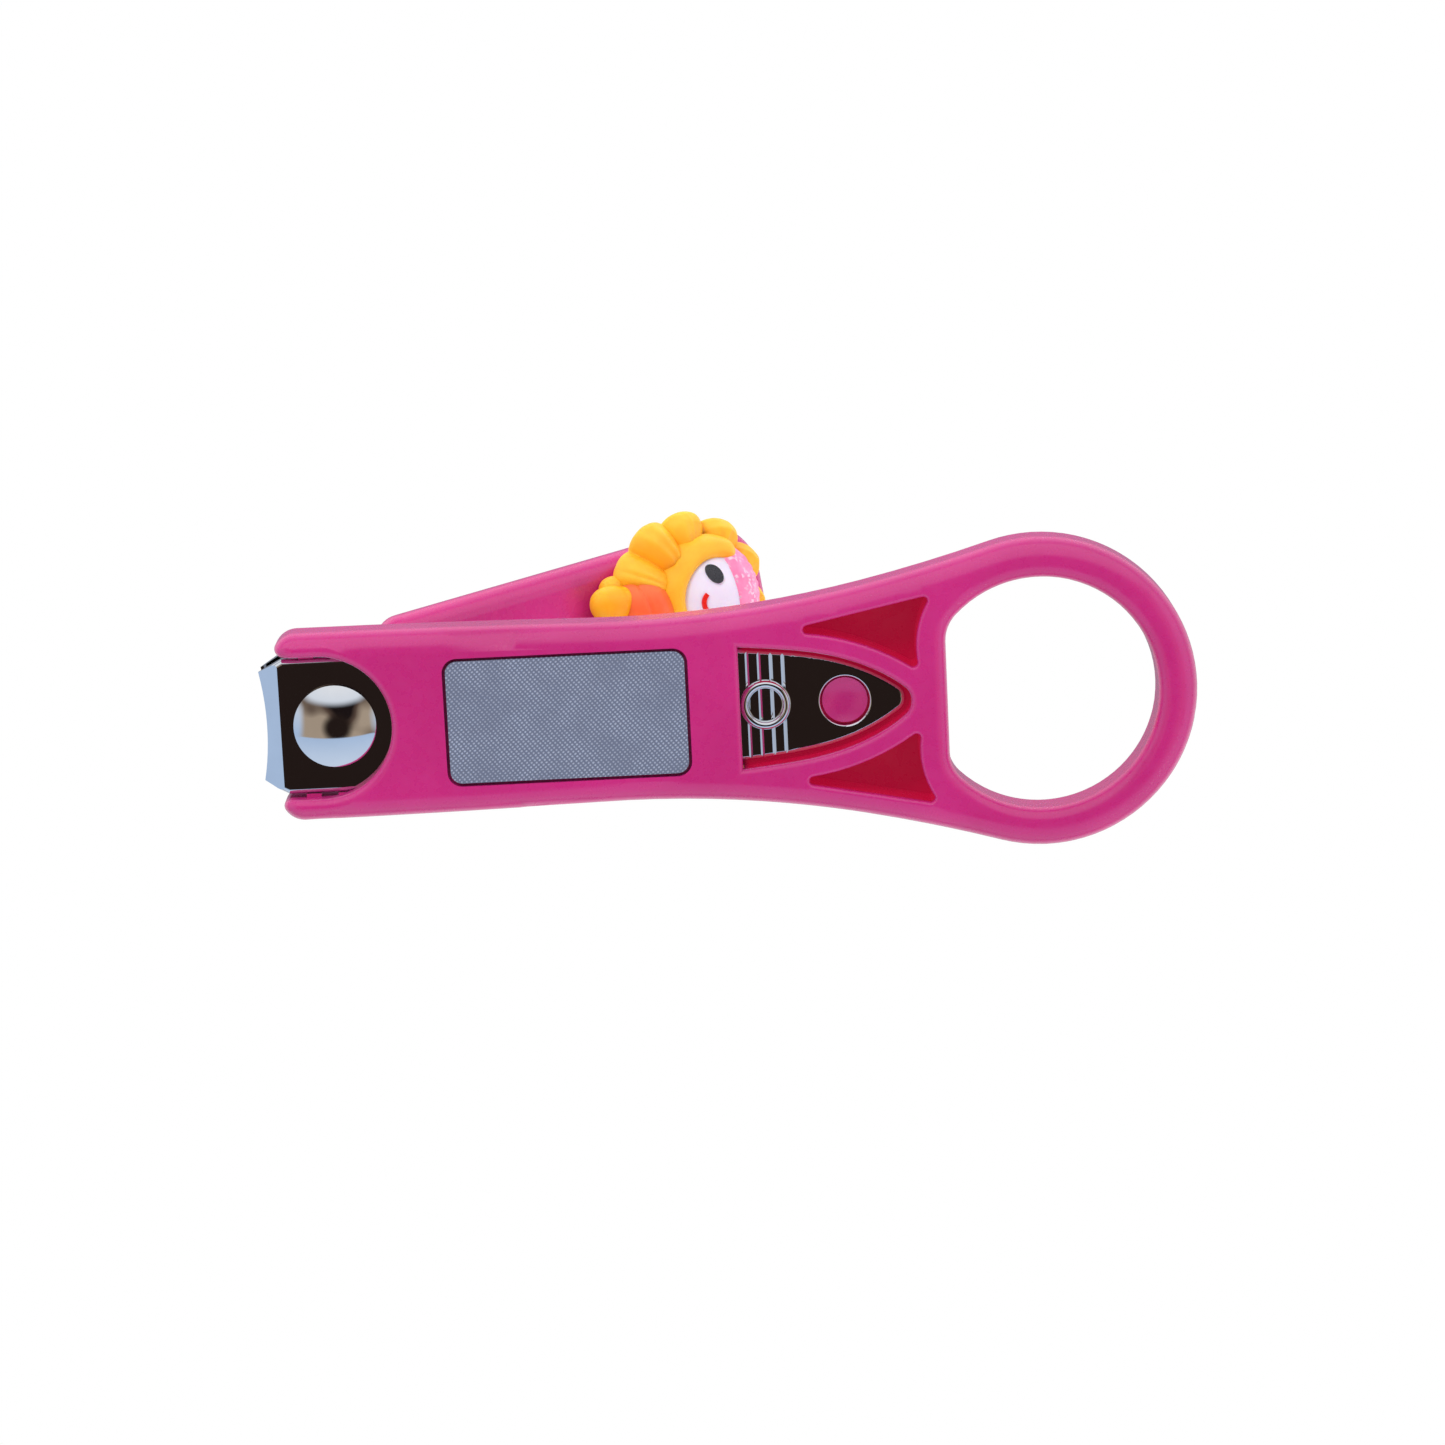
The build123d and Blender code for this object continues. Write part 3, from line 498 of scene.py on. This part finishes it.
def mane_piece(mat):
    """Petals with a rounded crown, a deep crease between them and fine folds along them."""
    around = 528
    rings = []
    for share, height, fold in refine(PETAL_PROFILE, PROFILE_STEPS):
        ring = []
        for i in range(around):
            angle = 2 * pi * i / around
            reach, crease, number = petal_shape(angle)
            lean = 0.18 * sin(number * 2.1)
            low = 0.95 * crease**2.0 * fold
            folds = 0.11 * cos(crease * 9.4 + number) * fold * (1 - crease)
            crown = 0.30 * (1 - crease**2) * fold
            back = ease(-cos(angle), -0.55, 0.3)
            height_here = height - (1 - back) * max(0.0, height - 2.5)
            h = PAD_TOP + max(0.02, height_here + crown + lean * fold - low + folds)
            r = reach * share * (1 - 0.035 * crease**3 * fold)
            ring.append((MANE_U + r * cos(angle), r * sin(angle), h))
        rings.append(ring)
    return doll_piece("petals", rings, (True, True), mat, "doll_mane")


def collar_piece(mat):
    """Broad soft roll round the chin and cheeks that sinks in towards the forehead."""
    around = 160
    rings = []
    for radius, height in refine(COLLAR_PROFILE, PROFILE_STEPS):
        ring = []
        for i in range(around):
            angle = 2 * pi * i / around
            rise = ease(-cos(angle), -0.96, -0.45)
            chin = ease(-cos(angle), 0.2, 1.0)
            roll = (height - COLLAR_FOOT) * (0.45 + 0.55 * rise)
            h = PAD_TOP + COLLAR_FOOT + roll + 0.18 * chin * ease(height, 2.5, 4.5)
            r = radius - (1 - rise) * 1.25 + 0.03 * sin(5 * angle)
            ring.append((FACE_U + r * cos(angle), r * sin(angle), h))
        rings.append(ring)
    return doll_piece("collar", rings, (False, False), mat, None)


def fringe_piece(mat):
    """Glittering fringe: a soft-edged shell over the forehead with shallow strands."""
    along, across = 26, 64
    rings = []
    for side in (0, 1):
        for a in range(along + 1):
            ring = []
            t = a / along if side == 0 else 1 - a / along
            for b in range(across):
                s = b / (across - 1) * 2 - 1
                x = FRINGE_LINE + (FACE_BALL - FRINGE_LINE - 0.05) * (1 - (1 - t) ** 1.6)
                angle = s * FRINGE_SPREAD
                radius = sqrt(max(0.01, FACE_BALL**2 - x * x))
                edge = ease(t, 0.0, 0.12) * ease(1 - abs(s), 0.0, 0.08)
                strand = 0.045 * sin(s * 26 + 1.2 * sin(t * 5)) * ease(t, 0.0, 0.3)
                lift = -0.12 if side else (0.05 + FRINGE_LIFT * edge + strand)
                scale = (FACE_BALL + lift) / FACE_BALL
                y, z = radius * sin(angle), radius * cos(angle)
                ring.append((FACE_U + x * scale, y * scale, FACE_CENTRE_H + z * scale))
            rings.append(ring)
    return grid_piece("fringe_tuft", rings, mat, "doll_fringe")


def grid_piece(name, rows, mat, replaces):
    """A closed sheet from rows that run over its top and back under it."""
    mesh = bpy.data.meshes.new(name)
    bm = bmesh.new()
    grid = [[bm.verts.new(DOLL_MATRIX @ Vector(p)) for p in row] for row in rows]
    for i in range(len(grid)):
        near, far = grid[i], grid[(i + 1) % len(grid)]
        for a in range(len(near) - 1):
            bm.faces.new((near[a], near[a + 1], far[a + 1], far[a]))
    half = len(grid) // 2
    for end in (0, -1):
        for i in range(half - 1):
            mate = len(grid) - 1 - i
            bm.faces.new((grid[i][end], grid[i + 1][end], grid[mate - 1][end], grid[mate][end]))
    bmesh.ops.recalc_face_normals(bm, faces=bm.faces)
    bm.to_mesh(mesh)
    bm.free()
    for polygon in mesh.polygons:
        polygon.use_smooth = True
    mesh.materials.append(mat)
    piece = bpy.data.objects.new(name, mesh)
    scene.collection.objects.link(piece)
    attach(piece, "lever")
    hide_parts(replaces)
    return piece


def body_piece(mat):
    """Plump body with a soft crease at the hips, flattened where it lies on the lever."""
    around, along = 112, 64
    start, end, radius = 29.35, 36.4, 4.05
    rings = []
    for k in range(along + 1):
        t = k / along
        u = start + (end - start) * t
        blunt = 1 - (1 - min(1.0, (u - start + 0.02) / 3.0)) ** 2.4
        swell = 1 + 0.04 * sin(pi * ease(u, 31.5, 35.5)) - 0.4 * ease(u, 32.6, 36.4)
        crease = 0.22 * max(0.0, 1 - abs(u - 31.75) / 0.55) ** 2
        r = radius * sqrt(max(0.0, blunt)) * swell - crease
        ring = []
        for i in range(around):
            angle = 2 * pi * i / around
            y = r * cos(angle)
            h = BODY_HEIGHT + r * 0.98 * sin(angle)
            ring.append((u, y, max(PAD_TOP + FLOOR_LIFT, h)))
        rings.append(ring)
    return doll_piece("body", rings, (True, True), mat, "doll_body")


def limb_piece(name, place, radii, lean, mat, replaces):
    """Rounded limb, fuller at its tip, with a faint crease where it joins the body."""
    around, along = 64, 40
    rings = []
    for k in range(along + 1):
        t = -1 + 2 * (k + 0.02) / (along + 0.04)
        girth = sqrt(max(0.0, 1 - abs(t) ** 2.5)) * (1.06 - 0.10 * t)
        girth -= 0.05 * max(0.0, 1 - abs(t - 0.35) / 0.2)
        ring = []
        for i in range(around):
            angle = 2 * pi * i / around
            x = place[0] + t * radii[0]
            y = place[1] + girth * radii[1] * cos(angle) + lean * t
            h = place[2] + girth * radii[2] * sin(angle)
            ring.append((x, y, max(PAD_TOP + FLOOR_LIFT, h)))
        rings.append(ring)
    return doll_piece(name, rings, (True, True), mat, replaces)


def add_doll(looks):
    mane_piece(looks["doll_mane"])
    collar_piece(looks["doll_mane"])
    fringe_piece(looks["doll_fringe"])
    body_piece(looks["doll_body"])
    for hand, label in ((1, "a"), (-1, "b")):
        foot = (FOOT_PLACE[0], hand * FOOT_PLACE[1], FOOT_PLACE[2])
        mat = looks["doll_feet"]
        node = "doll_feet" if hand > 0 else None
        limb_piece("foot_" + label, foot, FOOT_SIZE, -hand * LIMB_LEAN, mat, node)
        palm = (HAND_PLACE[0], hand * HAND_PLACE[1], HAND_PLACE[2])
        mat = looks["doll_hands"]
        node = "doll_hands" if hand > 0 else None
        limb_piece("hand_" + label, palm, HAND_SIZE, hand * LIMB_LEAN, mat, node)


# Surroundings


def add_world():
    """A pale studio that mirrors see as a dark room with bright strips low, high and at the sides."""
    world = bpy.data.worlds.new("world")
    world.use_nodes = True
    tree = world.node_tree
    tree.nodes.clear()
    direction = add(tree, "ShaderNodeTexCoord").outputs["Generated"]
    mirror = (0, sin(TILT), -cos(TILT))
    towards = (0, cos(TILT), sin(TILT))
    ahead = dot(tree, direction, mirror)
    side = dot(tree, direction, (1, 0, 0))
    level = dot(tree, direction, towards)
    blotch = noise(tree, direction, 1.15, 0.6)
    room = ramp(
        tree,
        blotch,
        [(0.38, srgb(30, 22, 22)), (0.47, srgb(92, 74, 64)), (0.60, srgb(176, 158, 138))],
    )
    near = smooth(tree, ahead, cos(radians(26)), cos(radians(12)))
    room = mix(tree, near, room, srgb(38, 28, 25))
    sky = ramp(
        tree,
        math(tree, "ADD", math(tree, "MULTIPLY", level, 0.5), 0.5),
        [
            (0.0, srgb(250, 250, 252)),
            (0.22, srgb(225, 232, 242)),
            (0.6, srgb(176, 200, 232)),
            (1.0, srgb(214, 228, 246)),
        ],
    )
    low_edge = smooth(tree, level, 0.235, 0.275)
    high_edge = smooth(tree, level, -0.48, -0.66)
    wide_edge = smooth(tree, math(tree, "ABSOLUTE", side), 0.72, 0.86)
    bright = math(tree, "MAXIMUM", math(tree, "MAXIMUM", low_edge, high_edge), wide_edge)
    below = mix(tree, bright, room, sky)
    height = add(tree, "ShaderNodeSeparateXYZ", {0: direction}).outputs["Z"]
    above = ramp(
        tree,
        height,
        [
            (0.0, srgb(150, 158, 172)),
            (0.12, srgb(92, 98, 112)),
            (0.3, srgb(205, 214, 228)),
            (0.75, srgb(250, 250, 252)),
            (1.0, srgb(120, 126, 140)),
        ],
    )
    mirrored = mix(tree, smooth(tree, height, 0.0, 0.08), below, above)
    path = add(tree, "ShaderNodeLightPath")
    soft = mix(tree, smooth(tree, ahead, -0.1, 0.95), (1.25, 1.25, 1.32), (0.42, 0.40, 0.42))
    seen = mix(tree, path.outputs["Is Glossy Ray"], soft, mirrored)
    seen = mix(tree, path.outputs["Is Camera Ray"], seen, (1.0, 1.0, 1.0))
    background = add(tree, "ShaderNodeBackground", {"Color": seen, "Strength": 1.0})
    output = add(tree, "ShaderNodeOutputWorld")
    tree.links.new(background.outputs[0], output.inputs["Surface"])
    scene.world = world


LIGHT_AIM = Vector((0, 0, 0.01))


def area_light(name, place, size, power, color):
    data = bpy.data.lights.new(name, "AREA")
    data.shape = "RECTANGLE"
    data.size, data.size_y = size
    data.energy = power
    data.color = color
    light = bpy.data.objects.new(name, data)
    light.location = place
    aim = Vector(place) - LIGHT_AIM
    light.rotation_euler = aim.to_track_quat("Z", "Y").to_euler()
    light.visible_camera = False
    light.visible_glossy = False
    scene.collection.objects.link(light)


def add_floor():
    """Plain pale floor that can only be seen from above and lights nothing."""
    mesh = bpy.data.meshes.new("floor")
    half = 3.0
    z = -0.00002
    corners = [(-half, -half, z), (half, -half, z), (half, half, z), (-half, half, z)]
    mesh.from_pydata(corners, [], [(0, 1, 2, 3)])
    floor = bpy.data.objects.new("floor", mesh)
    scene.collection.objects.link(floor)
    mat, tree, shader = new_material("floor_pale")
    tone = noise(tree, coords(tree), 8, 3)
    stops = [(0.3, (0.80, 0.80, 0.80)), (0.7, (0.84, 0.84, 0.84))]
    link(tree, shader, Base_Color=ramp(tree, tone, stops))
    shader.inputs["Roughness"].default_value = 0.7
    away = add(tree, "ShaderNodeNewGeometry").outputs["Backfacing"]
    clear = add(tree, "ShaderNodeBsdfTransparent").outputs[0]
    one_way = add(tree, "ShaderNodeMixShader", {0: away, 1: shader.outputs[0], 2: clear})
    output = next(n for n in tree.nodes if n.type == "OUTPUT_MATERIAL")
    tree.links.new(one_way.outputs[0], output.inputs["Surface"])
    mesh.materials.append(mat)
    floor.visible_diffuse = False
    floor.visible_glossy = False
    floor.visible_transmission = False
    floor.visible_shadow = False


add_camera()
add_doll(dress_all())
add_world()
area_light("low_left", (-0.25, -0.45, -0.35), (0.3, 0.2), 2.2, (0.97, 0.98, 1.0))
area_light("low_right", (0.35, 0.35, -0.30), (0.3, 0.2), 1.9, (1.0, 0.98, 0.97))
area_light("high_soft", (0.2, -0.35, 0.55), (0.4, 0.4), 3.0, (1.0, 1.0, 1.0))
add_floor()
